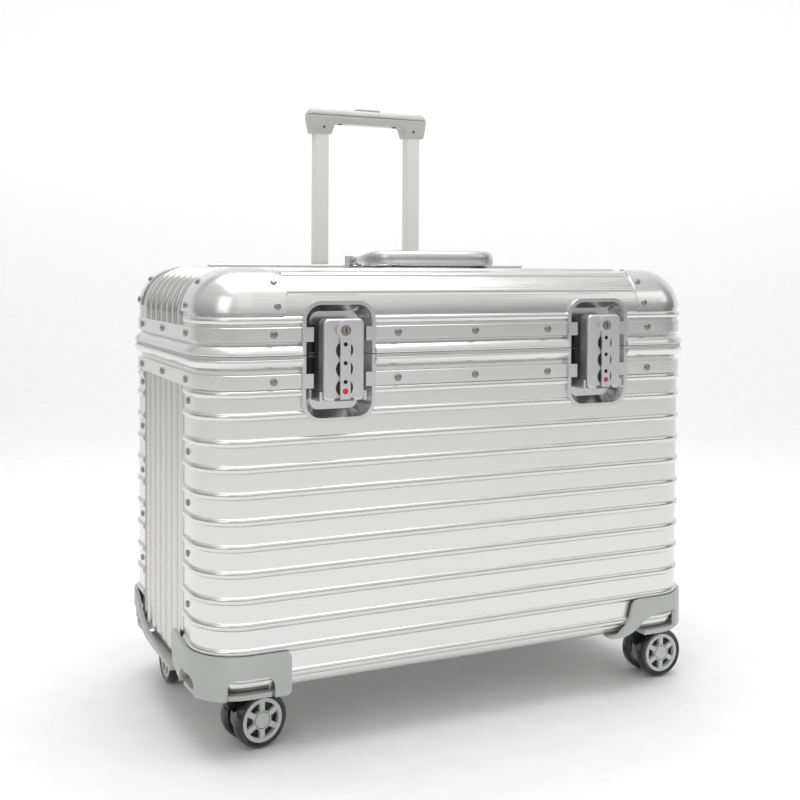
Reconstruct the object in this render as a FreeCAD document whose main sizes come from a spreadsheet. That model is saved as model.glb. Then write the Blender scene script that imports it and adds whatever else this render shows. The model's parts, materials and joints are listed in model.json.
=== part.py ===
import FreeCAD, Part
import math
import os

# Hard shell suitcase on four twin-wheel casters.
# Frame: millimetres, +X to the right along the front, front at -Y, +Z up, origin on the floor under the middle of the case.
V = FreeCAD.Vector
doc = FreeCAD.newDocument("suitcase")
sheet = doc.addObject("Spreadsheet::Sheet", "dims")
CELLS = [
    ("half_width", 245), ("half_depth", 132), ("corner_rad", 40), ("skin", 1.2), ("base_low", 57),
    ("edge_rad", 9), ("strip_low", 304.5), ("strip_high", 355), ("seam_low", 329), ("seam_high", 332),
    ("top_high", 402), ("round_over", 38), ("rib_first", 69.6), ("rib_pitch", 21.3), ("rib_count", 11),
    ("rib_wide", 7.0), ("rib_proud", 2.0), ("sheet_end", 73), ("lap_end", 85), ("side_pitch", 20),
    ("split_lid", 83.5), ("split_deck", 84.5), ("hinge_y", 84), ("hinge_z", 404.9), ("hinge_half", 180),
    ("latch_x", 130), ("dish_half", 33), ("dish_low", 276), ("dish_high", 376.5), ("dish_back", 120),
    ("lever_half", 18), ("lever_low", 294), ("lever_high", 362), ("lever_back", 132.4), ("lever_face", 145),
    ("lever_pivot_y", 138.5), ("lever_pivot_z", 298), ("spine_half", 4.6), ("dial_rad", 7.4), ("dial_one", 336),
    ("dial_pitch", 15.5), ("key_z", 352.5), ("key_rad", 3.4), ("handle_x", 58), ("handle_z", 411),
    ("tube_x", 53), ("tube_y", 107), ("outer_wide", 21), ("outer_deep", 20), ("outer_top", 395),
    ("mid_wide", 18), ("mid_deep", 17), ("mid_low", 64), ("mid_top", 394), ("inner_wide", 15),
    ("inner_deep", 14), ("inner_low", 201), ("inner_top", 553), ("bezel_top", 406), ("grip_half", 68),
    ("grip_low", 555), ("grip_top", 570), ("grip_leg_low", 543.5), ("grip_deep", 17), ("button_half", 13.5),
    ("lining_half", 236), ("lining_front", 118), ("lining_back", 82), ("wheel_rad", 23.7), ("tyre_wide", 12),
    ("wheel_off", 11.5), ("trail", 18), ("stem_x", 208), ("stem_y", 95), ("rim_rad", 18.4),
    ("guard_high", 89), ("guard_low", 53), ("guard_proud", 3), ("cap_reach", 68), ("cap_low", 367),
]
for i, (alias, value) in enumerate(CELLS):
    sheet.set("A%d" % (i + 1), alias)
    sheet.set("B%d" % (i + 1), str(value))
    sheet.setAlias("B%d" % (i + 1), alias)
doc.recompute()
D = {alias: float(sheet.get("B%d" % (i + 1))) for i, (alias, value) in enumerate(CELLS)}
NODES = []


def ex(e):
    return str(e).replace("@", "dims.")


# ---- primitives of the document, their sizes and places bound to the sheet ----
count = [0]


def fresh(prefix):
    count[0] += 1
    return "%s_%03d" % (prefix, count[0])


def box(x0, x1, y0, y1, z0, z1):
    o = doc.addObject("Part::Box", fresh("box"))
    for prop, a, b in (("Length", x0, x1), ("Width", y0, y1), ("Height", z0, z1)):
        o.setExpression(prop, "(%s) - (%s)" % (ex(b), ex(a)))
    for c, a in (("x", x0), ("y", y0), ("z", z0)):
        o.setExpression("Placement.Base." + c, ex(a))
    return o


def cyl(axis, rad, lo, hi, a, b):
    """A cylinder along one axis from lo to hi; a and b are its other two coordinates in X, Y, Z order."""
    o = doc.addObject("Part::Cylinder", fresh("cyl"))
    rot = {"x": FreeCAD.Rotation(V(0, 1, 0), 90), "y": FreeCAD.Rotation(V(1, 0, 0), -90), "z": FreeCAD.Rotation()}[axis]
    o.Placement = FreeCAD.Placement(V(0, 0, 0), rot)
    o.setExpression("Radius", ex(rad))
    o.setExpression("Height", "(%s) - (%s)" % (ex(hi), ex(lo)))
    where = {"x": (lo, a, b), "y": (a, lo, b), "z": (a, b, lo)}[axis]
    for c, e in zip("xyz", where):
        o.setExpression("Placement.Base." + c, ex(e))
    return o


def cut(a, *tools):
    o = doc.addObject("Part::Cut", fresh("cut"))
    o.Base = a
    o.Tool = tools[0] if len(tools) == 1 else fuse(*tools)
    return o


def fuse(*parts):
    o = doc.addObject("Part::MultiFuse", fresh("fuse"))
    o.Shapes = list(parts)
    return o


def group(*parts):
    o = doc.addObject("Part::Compound", fresh("group"))
    o.Links = list(parts)
    return o


def rounded(o, rad, test):
    """Part::Fillet on the edges of o for which test(edge) holds."""
    doc.recompute()
    f = doc.addObject("Part::Fillet", fresh("fillet"))
    f.Base = o
    f.Edges = [(i + 1, rad, rad) for i, e in enumerate(o.Shape.Edges) if test(e)]
    return f


def upright(e):
    t = e.Vertexes
    return len(t) == 2 and abs(t[0].Point.z - t[1].Point.z) > 1 and abs(t[0].Point.x - t[1].Point.x) < 0.01 and abs(t[0].Point.y - t[1].Point.y) < 0.01


def along_x(e):
    t = e.Vertexes
    return len(t) == 2 and abs(t[0].Point.x - t[1].Point.x) > 1 and abs(t[0].Point.z - t[1].Point.z) < 0.01 and abs(t[0].Point.y - t[1].Point.y) < 0.01


def node(name, o):
    o.Label = name
    NODES.append((name, o))
    return o


def feature(name, shape, where=None):
    o = doc.addObject("Part::Feature", "p_" + name)
    o.Shape = shape
    if where is not None:
        o.Placement = where
    return node(name, o)


# ---- sheet-metal shapes: a section in (outward, up) carried round the case ----
HW, HD, R = D["half_width"], D["half_depth"], D["corner_rad"]


def stand(face, at, out):
    """Moves a section drawn in the XZ plane, X outward, to a point of the outline with a given outward direction."""
    s = face.copy()
    s.Placement = FreeCAD.Placement(V(at[0], at[1], 0), FreeCAD.Rotation(V(0, 0, 1), math.degrees(math.atan2(out[1], out[0]))))
    return s


def straight(face, a, b, out):
    return stand(face, a, out).extrude(V(b[0] - a[0], b[1] - a[1], 0))


def bend(face, centre, start, turn=90.0):
    c, s = math.cos(math.radians(start)), math.sin(math.radians(start))
    return stand(face, (centre[0] + R * c, centre[1] + R * s), (c, s)).revolve(V(centre[0], centre[1], 0), V(0, 0, 1), turn)


def u_run(face, end):
    x, y = HW - R, HD - R
    runs = [straight(face, (-HW, -end), (-HW, -y), (-1, 0)), bend(face, (-x, -y), 180), straight(face, (-x, -HD), (x, -HD), (0, -1)),
            bend(face, (x, -y), 270), straight(face, (HW, -y), (HW, -end), (1, 0))]
    return runs[0].multiFuse(runs[1:]).removeSplitter()


def ring(face):
    x, y = HW - R, HD - R
    runs = [straight(face, (-HW, y), (-HW, -y), (-1, 0)), bend(face, (-x, -y), 180), straight(face, (-x, -HD), (x, -HD), (0, -1)),
            bend(face, (x, -y), 270), straight(face, (HW, -y), (HW, y), (1, 0)), bend(face, (x, y), 0),
            straight(face, (x, HD), (-x, HD), (0, 1)), bend(face, (-x, y), 90)]
    return runs[0].multiFuse(runs[1:]).removeSplitter()


def outline(points):
    """A face in the XZ plane. A point with four numbers is reached by an arc through its first pair."""
    edges = []
    last = points[0]
    for p in points[1:] + [points[0]]:
        a = V(last[-2], 0, last[-1])
        b = V(p[-2], 0, p[-1])
        if (a - b).Length > 1e-6:
            edges.append(Part.Arc(a, V(p[0], 0, p[1]), b).toShape() if len(p) == 4 else Part.makeLine(a, b))
        last = p
    return Part.Face(Part.Wire(edges))


def arc_mid(cx, cz, rad, deg):
    return cx + rad * math.cos(math.radians(deg)), cz + rad * math.sin(math.radians(deg))


def solid_box(x0, x1, y0, y1, z0, z1):
    return Part.makeBox(x1 - x0, y1 - y0, z1 - z0, V(x0, y0, z0))


def rod(p, d, rad, length):
    return Part.makeCylinder(rad, length, V(*p), V(*d))


EDGE, SKIN, LOW = D["edge_rad"], D["skin"], D["base_low"]
STRIP_LOW = D["strip_low"]


def skin_section(inset, ribs):
    """Bottom roundover, upright wall up to the frame, and the horizontal beads."""
    cz = LOW + EDGE
    r_out, r_in = EDGE - inset, EDGE - inset - SKIN
    pts = [(-EDGE, cz - r_out), arc_mid(-EDGE, cz, r_out, -45) + (-inset, cz)]
    for z in ribs:
        h = D["rib_wide"] / 2
        pts += [(-inset, z - h), (D["rib_proud"] - inset, z, -inset, z + h)]
    pts += [(-inset, STRIP_LOW), (-inset - SKIN, STRIP_LOW), (-inset - SKIN, cz)]
    pts += [arc_mid(-EDGE, cz, r_in, -45) + (-EDGE, cz - r_in)]
    return outline(pts)


RIBS = [D["rib_first"] + D["rib_pitch"] * k for k in range(int(D["rib_count"]))] + [STRIP_LOW - D["rib_wide"] / 2 - 0.2]


def plan_rect(hx, hz, rad, y):
    """A rounded rectangle in an XZ plane at depth y, centred on x=0, z=0."""
    edges = []
    corners = [(hx - rad, -hz + rad, 270), (hx - rad, hz - rad, 0), (-hx + rad, hz - rad, 90), (-hx + rad, -hz + rad, 180)]
    last = None
    ends = []
    for cx, cz, a0 in corners:
        p = [V(cx + rad * math.cos(math.radians(a0 + t)), y, cz + rad * math.sin(math.radians(a0 + t))) for t in (0, 45, 90)]
        ends.append(p)
    for i, p in enumerate(ends):
        edges.append(Part.Arc(*p).toShape())
        edges.append(Part.makeLine(p[2], ends[(i + 1) % 4][0]))
    return Part.Wire(edges)


DISH_Z = (D["dish_low"] + D["dish_high"]) / 2
DISH_H = (D["dish_high"] - D["dish_low"]) / 2
DISH_FRONT = -HD - 2.5


def dish_prism(x, grow=0.0):
    w = plan_rect(D["dish_half"] + grow, DISH_H + grow, 16, -HD - 14)
    s = Part.Face(w).extrude(V(0, 40, 0))
    s.translate(V(x, 0, DISH_Z))
    return s


DISHES = [dish_prism(-D["latch_x"]), dish_prism(D["latch_x"])]
front = u_run(skin_section(0, RIBS), D["sheet_end"]).cut(DISHES[0]).cut(DISHES[1])
feature("front_shell", front)
back = u_run(skin_section(0, RIBS), D["sheet_end"])
feature("back_shell", back, FreeCAD.Placement(V(0, 0, 0), FreeCAD.Rotation(V(0, 0, 1), 180)))


def side_panel(sign):
    face = skin_section(SKIN, [])
    s = straight(face, (HW * sign, -D["lap_end"]), (HW * sign, D["lap_end"]), (sign, 0))
    beads = [rod((sign * (HW - SKIN - 2.2), D["side_pitch"] * k, LOW + EDGE + 2), (0, 0, 1), 4.0, 236) for k in range(-3, 4)]
    behind = solid_box(-HW + 2 * SKIN, HW - 2 * SKIN, -100, 100, LOW + EDGE, 320)
    return s.multiFuse([b.cut(behind) for b in beads])


feature("left_side_panel", side_panel(-1))
feature("right_side_panel", side_panel(1))
node("bottom_panel", rounded(box("-@half_width + @edge_rad", "@half_width - @edge_rad", "-@half_depth + @edge_rad", "@half_depth - @edge_rad", "@base_low", "@base_low + 2 * @skin"), R - EDGE, upright))

# ---- frame mouldings either side of the seam, each with its riveted strip, groove and flared lip ----
S0, S1 = D["seam_low"], D["seam_high"]


def moulding(z0, s):
    """z0 is the seam side; s is +1 going up from it, -1 going down."""
    far = D["strip_high"] if s > 0 else STRIP_LOW
    h = abs(far - z0)
    pts = [(-6, z0), (3.6, z0), (4.3, z0 + s * 0.3, 4.6, z0 + s * 1.0), (4.6, z0 + s * 2.2), (3.4, z0 + s * 4.4, -0.4, z0 + s * 8.6), (-2.0, z0 + s * 9.4),
           (-2.0, z0 + s * (h - 12.6)), (-1.2, z0 + s * (h - 12.0)), (1.1, z0 + s * (h - 12.0)), (1.5, z0 + s * (h - 11.5)), (1.5, z0 + s * (h - 0.5)),
           (1.1, z0 + s * h), (-6, z0 + s * h)]
    return outline(pts)


def clear_latches(shape):
    for x in (-D["latch_x"], D["latch_x"]):
        shape = shape.cut(solid_box(x - D["dish_half"], x + D["dish_half"], -HD - 20, -HD + 10, 290, 360))
    return shape


feature("base_frame", clear_latches(ring(moulding(S0, -1))))
gasket = outline([(-5.5, S0), (2.9, S0), (2.9, S1 - 0.5), (2.2, S1 - 0.3), (-5.5, S1 - 0.3)])
feature("rim_gasket", clear_latches(ring(gasket)))
upper_ring = ring(moulding(S1, 1))
BIG = 400
front_half = solid_box(-BIG, BIG, -BIG, D["split_lid"], 0, 900)
rear_half = solid_box(-BIG, BIG, D["split_deck"], BIG, 0, 900)
feature("lid_frame", clear_latches(upper_ring.common(front_half)))
rear_ring = upper_ring.common(rear_half)
packing = ring(outline([(-5.5, S1 - 0.3), (2.9, S1 - 0.3), (2.9, S1), (-5.5, S1)])).common(rear_half)
feature("rear_deck_frame", rear_ring.fuse(packing))


# ---- top of the case: sheet rounded over on every side ----
def dome(off, low):
    b = solid_box(-HW - off, HW + off, -HD - off, HD + off, low, D["top_high"] + off)
    b = b.makeFillet(R + off, [e for e in b.Edges if upright(e)])
    top = [e for e in b.Edges if all(abs(v.Point.z - D["top_high"] - off) < 1e-4 for v in e.Vertexes)]
    return b.makeFillet(D["round_over"] + off, top)


TL = D["strip_high"]
outer = dome(0, TL)
inner = dome(-1.5, TL - 5)
shell = outer.cut(inner)
RO = D["round_over"]


def over_point(phi, rad):
    """Depth in from the face and height of a point on the roundover at an angle up from level."""
    return RO - rad * math.cos(math.radians(phi)), D["top_high"] - RO + rad * math.sin(math.radians(phi))


side_zone_l = solid_box(-BIG, -HW + R, -D["sheet_end"], BIG, 0, 900)
side_zone_r = solid_box(HW - R, BIG, -D["sheet_end"], BIG, 0, 900)
lid_shell = shell.common(front_half).cut(DISHES[0]).cut(DISHES[1])
bead_r, sink = 4.0, 2.1
lid_sheet = lid_shell.cut(side_zone_l).cut(side_zone_r)
beads = []
for phi, half in ((32, 174), (64, 174)):
    d, z = over_point(phi, RO - sink)
    beads.append(rod((-half, -HD + d, z), (1, 0, 0), bead_r, 2 * half))
y = -HD + RO + 4.5
while y < 66:
    beads.append(rod((-200 if y > -58 else -174, y, D["top_high"] - sink), (1, 0, 0), bead_r, 400 if y > -58 else 348))
    y += D["rib_pitch"]
zb = 360.6
x, yy = HW - R, HD - R
beads.append(rod((-x, -HD + sink, zb), (1, 0, 0), bead_r, 2 * x))
for cx, a0 in ((-x, 180), (x, 270)):
    t = Part.makeTorus(R - sink, bead_r, V(cx, -yy, zb), V(0, 0, 1), -180, 180, 90)
    t.rotate(V(cx, -yy, zb), V(0, 0, 1), a0)
    beads.append(t)
for sx in (-1, 1):
    beads.append(rod((sx * (HW - sink), -yy, zb), (0, 1, 0), bead_r, yy - D["sheet_end"]))
lid_sheet = lid_sheet.multiFuse(beads).cut(inner).cut(DISHES[0]).cut(DISHES[1])
feature("lid_top_shell", lid_sheet)


def lid_side(sign):
    zone = solid_box(min(sign * BIG, sign * (HW - R)), max(sign * BIG, sign * (HW - R)), -D["sheet_end"], D["split_lid"], 0, 900)
    s = shell.common(zone)
    more = []
    for k in range(-3, 4):
        y0 = D["side_pitch"] * k
        more.append(rod((sign * (HW - sink), y0, TL), (0, 0, 1), bead_r, D["top_high"] - RO - TL))
        disc = Part.Face(Part.Wire(Part.makeCircle(bead_r, V(sign * (HW - sink), y0, D["top_high"] - RO), V(0, 0, 1))))
        more.append(disc.revolve(V(sign * (HW - RO), y0, D["top_high"] - RO), V(0, -sign, 0), 84))
    s = s.multiFuse(more).cut(inner)
    return s.cut(solid_box(-HW + R, HW - R, -BIG, BIG, 0, 900))


feature("lid_side_panels", Part.makeCompound([lid_side(-1), lid_side(1)]))
deck = shell.common(rear_half)
block = solid_box(-82, 82, 95.5, 121, 300, 500)
feature("rear_deck_shell", deck.cut(block))

cap_skin = dome(1.5, TL).cut(dome(0, TL - 5)).common(solid_box(-BIG, BIG, -BIG, BIG, D["cap_low"], 900))


def cap(sx, sy, zone):
    c = cap_skin.common(rod((sx * HW, sy * HD, 300), (0, 0, 1), D["cap_reach"], 200))
    return c.common(zone)


feature("lid_corner_caps", Part.makeCompound([cap(-1, -1, front_half), cap(1, -1, front_half)]))
feature("rear_corner_caps", Part.makeCompound([cap(-1, 1, rear_half), cap(1, 1, rear_half)]))


# ---- rivets ----
def rivet(p, n, rad=3.2, high=1.8):
    s = Part.makeCylinder(rad, high)
    s = s.makeFillet(high * 0.86, [e for e in s.Edges if all(abs(v.Point.z - high) < 1e-6 for v in e.Vertexes)])
    s.Placement = FreeCAD.Placement(V(*p), FreeCAD.Rotation(V(0, 0, 1), V(*n)))
    return s


FX = (-187.5, -75.5, 0, 75.5, 187.5)
zb1, zt1 = STRIP_LOW + 6, D["strip_high"] - 5.8
face = 1.5
case_r = [rivet((x, -HD - face, zb1), (0, -1, 0)) for x in FX] + [rivet((x, HD + face, z), (0, 1, 0)) for x in FX for z in (zb1, zt1)]
case_r += [rivet((s * (HW + face), y, zb1), (s, 0, 0)) for s in (-1, 1) for y in (-80, 0, 80)]
gaps = [D["rib_first"] + D["rib_pitch"] * (k + 0.5) for k in (2, 4, 6, 8, 10)]
case_r += [rivet((s * HW, y, z - 0.4), (s, 0, 0), 2.9, 1.6) for s in (-1, 1) for y in (-83, 83) for z in gaps]


def cap_rivets(sx, sy):
    out = []
    for phi in (12, 45):
        c, s = math.cos(math.radians(phi)), math.sin(math.radians(phi))
        z = D["top_high"] - RO + (RO + 1.5) * s
        out.append(rivet((sx * 184, sy * (HD - RO + (RO + 1.5) * c), z), (0, sy * c, s), 2.9, 1.6))
        out.append(rivet((sx * (HW - RO + (RO + 1.5) * c), sy * (94 if sy > 0 else 76), z), (sx * c, 0, s), 2.9, 1.6))
    return out


case_r += cap_rivets(-1, 1) + cap_rivets(1, 1)
feature("case_rivets", Part.makeCompound(case_r))
lid_r = [rivet((x, -HD - face, zt1), (0, -1, 0)) for x in FX] + [rivet((s * (HW + face), y, zt1), (s, 0, 0)) for s in (-1, 1) for y in (-80, 0, 78)]
feature("lid_rivets", Part.makeCompound(lid_r + cap_rivets(-1, -1) + cap_rivets(1, -1)))


# ---- latch plates: raised rim, walls sloping down to a pocket ----
def dish(x):
    body = DISHES[0 if x < 0 else 1].common(solid_box(x - 60, x + 60, DISH_FRONT, -D["dish_back"], 200, 460))
    mouth = plan_rect(D["dish_half"] - 3, DISH_H - 3, 13.5, DISH_FRONT - 0.5)
    floor = plan_rect(D["dish_half"] - 11, DISH_H - 9, 8, -D["dish_back"] - 1.5)
    hollow = Part.makeLoft([mouth, floor], True)
    hollow.translate(V(x, 0, DISH_Z))
    body = body.cut(hollow)
    for sx in (-1, 1):
        for z0, z1 in ((STRIP_LOW, STRIP_LOW + 12), (TL - 12, TL)):
            a, b = sorted((x + sx * 23.5, x + sx * D["dish_half"]))
            body = body.fuse(solid_box(a, b, -HD - 3.6, -HD - 1.2, z0, z1))
    return body


def lower_half(x):
    s = dish(x).common(solid_box(x - 60, x + 60, -200, 0, 200, S0 + 2.4))
    for sx in (-1, 1):
        a, b = sorted((x + sx * (D["lever_half"] + 0.5), x + sx * (D["lever_half"] + 3.0)))
        ear = solid_box(a, b, -D["lever_pivot_y"] - 4, -D["dish_back"] - 1.0, D["lever_pivot_z"] - 4, D["lever_pivot_z"] + 4)
        s = s.fuse(ear)
    s = s.fuse(rod((x - D["lever_half"] - 3, -D["lever_pivot_y"], D["lever_pivot_z"]), (1, 0, 0), 1.5, 2 * D["lever_half"] + 6))
    return s


feature("latch_plates_lower", Part.makeCompound([lower_half(-D["latch_x"]), lower_half(D["latch_x"])]))
feature("latch_plates_upper", Part.makeCompound([dish(x).common(solid_box(x - 60, x + 60, -200, 0, S1, 460)) for x in (-D["latch_x"], D["latch_x"])]))

# ---- combination latches: a lever with a spine, three dials and a key cylinder, turning on the pin at its foot ----
for side, sgn in (("left", "-"), ("right", "")):
    cx = "%s@latch_x" % sgn
    body = box(cx + " - @lever_half", cx + " + @lever_half", "-@lever_face", "-@lever_back", "@lever_low", "@lever_high")
    body = rounded(body, 4.5, lambda e: abs(e.tangentAt(e.FirstParameter).y) > 0.9)
    body = rounded(body, 2.2, lambda e: all(abs(v.Point.y + D["lever_face"]) < 1e-4 for v in e.Vertexes))
    pockets = [cyl("y", "@dial_rad + 0.3", "-@lever_face - 3", "-@lever_face + 4", cx, "@dial_one - %d * @dial_pitch" % k) for k in range(3)]
    body = cut(body, *pockets)
    spine = box(cx + " - @spine_half", cx + " + @spine_half", "-@lever_face - 2.4", "-@lever_face - 0.2", "@lever_low + 1.5", "@key_z")
    boss = cyl("y", 8, "-@lever_face - 3", "-@lever_face + 1", cx, "@key_z")
    pins = [cyl("y", 1.5, "-@lever_face - 1", "-@lever_face + 5", cx, "@dial_one - %d * @dial_pitch" % k) for k in range(3)]
    foot = box(cx + " - @spine_half", cx + " + @spine_half", "-@lever_face - 0.3", "-@lever_face + 1.5", "@lever_low + 1.5", "@lever_low + 3.2")
    body = fuse(body, spine, boss, foot, *pins)
    windows = [cyl("y", 1.8, "-@lever_face - 3", "-@lever_face - 0.1", cx, "@dial_one + 5 - %d * @dial_pitch" % k) for k in range(3)]
    body = cut(body, cyl("y", "@key_rad + 0.05", "-@lever_face - 4", "-@lever_face + 3", cx, "@key_z"),
               cyl("x", 1.55, cx + " - 30", cx + " + 30", "-@lever_pivot_y", "@lever_pivot_z"), *windows)
    node("latch_lever_" + side, body)
    node("key_cylinder_" + side, cut(cyl("y", "@key_rad", "-@lever_face - 3.6", "-@lever_face + 2.9", cx, "@key_z"),
                                    box(cx + " - 0.5", cx + " + 0.5", "-@lever_face - 5", "-@lever_face - 1", "@key_z - 2.3", "@key_z + 2.3")))
    for k in range(3):
        z = "@dial_one - %d * @dial_pitch" % k
        disc = cyl("y", "@dial_rad", "-@lever_face + 0.3", "-@lever_face + 3.7", cx, z)
        node("latch_dial_%s_%d" % (side, k + 1), cut(disc, cyl("y", 1.55, "-@lever_face - 1", "-@lever_face + 5", cx, z)))

# ---- lid hinge: leaves either side of the gap, knuckles in turn along one pin ----
segs = [(-180, -108.4, 1), (-107.6, -36.4, 0), (-35.6, 35.6, 1), (36.4, 107.6, 0), (108.4, 180, 1)]
deck_parts = [box("-@hinge_half", "@hinge_half", "@split_deck + 0.2", "@split_deck + 9", "@top_high", "@top_high + 0.8")]
lid_parts = [box("-@hinge_half", "@hinge_half", "@split_lid - 13", "@split_lid - 0.2", "@top_high", "@top_high + 0.8")]
for a, b, fixed in segs:
    knuckle = cyl("x", 2, a, b, "@hinge_y", "@hinge_z")
    if fixed:
        deck_parts += [knuckle, box(a, b, "@split_deck + 0.2", "@split_deck + 1.4", "@top_high", "@hinge_z")]
    else:
        lid_parts += [knuckle, box(a, b, "@split_lid - 1.4", "@split_lid - 0.2", "@top_high", "@hinge_z")]
node("hinge_leaf_deck", cut(fuse(*deck_parts), cyl("x", 1.0, -190, 190, "@hinge_y", "@hinge_z")))
node("hinge_leaf_lid", cut(fuse(*lid_parts), cyl("x", 1.05, -190, 190, "@hinge_y", "@hinge_z")))
node("hinge_pin", cyl("x", 1.0, "-@hinge_half", "@hinge_half", "@hinge_y", "@hinge_z"))

# ---- carry handle and its brackets ----
HX, HZ = D["handle_x"], D["handle_z"]


def handle():
    pts = [(-HX - 4, 0), (-HX - 6, -30), (-55, -62), (-49, -70), (49, -70), (55, -62), (HX + 6, -30), (HX + 4, 0),
           (HX - 4, 0), (HX - 7, -28), (43, -46), (36, -51), (-36, -51), (-43, -46), (-HX + 7, -28), (-HX + 4, 0)]
    w = Part.makePolygon([V(a, b, 403.9) for a, b in pts] + [V(pts[0][0], pts[0][1], 403.9)])
    s = Part.Face(w).extrude(V(0, 0, 16.5))
    # thinner towards the pivots
    wedge = Part.Face(Part.makePolygon([V(-90, 20, 415.0), V(-90, -38, 419.5), V(-90, -90, 420.6), V(-90, -90, 440), V(-90, 20, 440), V(-90, 20, 415.0)])).extrude(V(180, 0, 0))
    s = s.cut(wedge)
    under = Part.Face(Part.makePolygon([V(-90, 20, 406.4), V(-90, -14, 406.4), V(-90, -40, 403.8), V(-90, -40, 400), V(-90, 20, 400), V(-90, 20, 406.4)])).extrude(V(180, 0, 0))
    s = s.cut(under)
    for sx in (-1, 1):
        s = s.fuse(rod((sx * HX - 4, 0, HZ), (1, 0, 0), 5.2, 8))
        s = s.cut(rod((sx * HX - 10, 0, HZ), (1, 0, 0), 2.05, 20))
    return s


feature("carry_handle", handle())
brackets = []
for sgn in ("-", ""):
    cx = "%s@handle_x" % sgn
    plate = box(cx + " - 14", cx + " + 14", -14, 12, "@top_high + 2.0", "@top_high + 3.4")
    ears = [box(cx + " + (%s)" % a, cx + " + (%s)" % b, -5, 7, "@top_high + 2.0", "@handle_z + 4") for a, b in (("-8.5", "-5"), ("5", "8.5"))]
    studs = [box(cx + " - 14", cx + " + 14", a, b, "@top_high", "@top_high + 2.1") for a, b in ((-14, -8.6), (0, 12))]
    brackets.append(fuse(plate, *ears, *studs, cyl("x", 2, cx + " - 8.5", cx + " + 8.5", 0, "@handle_z")))
node("handle_brackets", group(*brackets))

# ---- telescopic trolley: three pairs of nested tubes, grip and release button ----


def tubes(wide, deep, lo, hi, wall=1.0):
    pair = []
    for sgn in ("-", ""):
        cx = "%s@tube_x" % sgn
        o = rounded(box("%s - %s / 2" % (cx, wide), "%s + %s / 2" % (cx, wide), "@tube_y - %s / 2" % deep, "@tube_y + %s / 2" % deep, lo, hi), 2.0, upright)
        i = rounded(box("%s - %s / 2 + %s" % (cx, wide, wall), "%s + %s / 2 - %s" % (cx, wide, wall), "@tube_y - %s / 2 + %s" % (deep, wall), "@tube_y + %s / 2 - %s" % (deep, wall), "%s - 1" % lo, "%s + 1" % hi), 1.0, upright)
        pair.append(cut(o, i))
    return group(*pair)


node("trolley_outer_tubes", tubes("@outer_wide", "@outer_deep", "@base_low + 2 * @skin", "@outer_top"))
node("trolley_mid_tubes", tubes("@mid_wide", "@mid_deep", "@mid_low", "@mid_top"))
node("trolley_inner_tubes", tubes("@inner_wide", "@inner_deep", "@inner_low", "@inner_top"))
bez = box(-82, 82, 95.5, 121, 386, "@bezel_top")
bez = rounded(bez, 2.5, lambda e: all(abs(v.Point.z - D["bezel_top"]) < 1e-4 for v in e.Vertexes))
holes = []
for sgn in ("-", ""):
    cx = "%s@tube_x" % sgn
    holes.append(box(cx + " - @outer_wide / 2 + 0.9", cx + " + @outer_wide / 2 - 0.9", "@tube_y - @outer_deep / 2 + 0.9", "@tube_y + @outer_deep / 2 - 0.9", 380, 420))
    holes.append(box(cx + " - @outer_wide / 2", cx + " + @outer_wide / 2", "@tube_y - @outer_deep / 2", "@tube_y + @outer_deep / 2", 380, "@outer_top"))
node("trolley_bezel", cut(bez, *holes))
node("trolley_well", fuse(box("-@lining_half", "@lining_half", "@split_deck", "@split_deck + 2", "@base_low + 2 * @skin", "@strip_high"),
                          box(-205, 205, "@split_deck", "@split_deck + 2", "@base_low + 2 * @skin", 398)))
gy0, gy1 = "@tube_y - @grip_deep / 2", "@tube_y + @grip_deep / 2"
bar = rounded(box("-@grip_half", "@grip_half", gy0, gy1, "@grip_low", "@grip_top"), 4.5, lambda e: abs(e.tangentAt(e.FirstParameter).x) < 0.01 and any(abs(v.Point.z - D["grip_top"]) < 1e-4 for v in e.Vertexes))
legs = [box("%s@tube_x - 12" % s, "%s@tube_x + 12" % s, gy0, gy1, "@grip_leg_low", "@grip_low + 1") for s in ("-", "")]
sockets = [box("%s@tube_x - @inner_wide / 2" % s, "%s@tube_x + @inner_wide / 2" % s, "@tube_y - @inner_deep / 2", "@tube_y + @inner_deep / 2", "@grip_leg_low - 1", "@inner_top") for s in ("-", "")]
slot = box("-@button_half - 0.3", "@button_half + 0.3", "@tube_y - 5.3", "@tube_y + 5.3", "@grip_top - 6", "@grip_top + 1")
node("trolley_grip", cut(fuse(bar, *legs), slot, *sockets))
node("trolley_button", rounded(box("-@button_half", "@button_half", "@tube_y - 5", "@tube_y + 5", "@grip_top - 2.4", "@grip_top + 1.8"), 1.0, lambda e: all(abs(v.Point.z - D["grip_top"] - 1.8) < 1e-4 for v in e.Vertexes)))

# ---- linings ----
lo_ = rounded(box("-@lining_half", "@lining_half", "-@lining_front", "@lining_back", "@base_low + 2 * @skin", "@seam_low - 3"), 28, upright)
li_ = rounded(box("-@lining_half + 2", "@lining_half - 2", "-@lining_front + 2", "@lining_back - 2", "@base_low + 2 * @skin + 2", "@seam_low"), 26, upright)
node("base_lining", cut(lo_, li_))


def lid_bag(off):
    b = solid_box(-230 + off, 230 - off, -112 + off, 81 - off, 334 if off == 0 else 330, 397 - off)
    b = b.makeFillet(34 - off, [e for e in b.Edges if upright(e)])
    top = [e for e in b.Edges if all(abs(v.Point.z - 397 + off) < 1e-4 for v in e.Vertexes)]
    return b.makeFillet(30 - off, top)


feature("lid_lining", lid_bag(0).cut(lid_bag(2)))


# ---- corner guards: a skirt round each lower corner, arched over the caster, with the caster's stem boss ----
def rounded_prism(off, z0, z1):
    b = solid_box(-HW - off, HW + off, -HD - off, HD + off, z0, z1)
    return b.makeFillet(R + off, [e for e in b.Edges if upright(e)])


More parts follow.
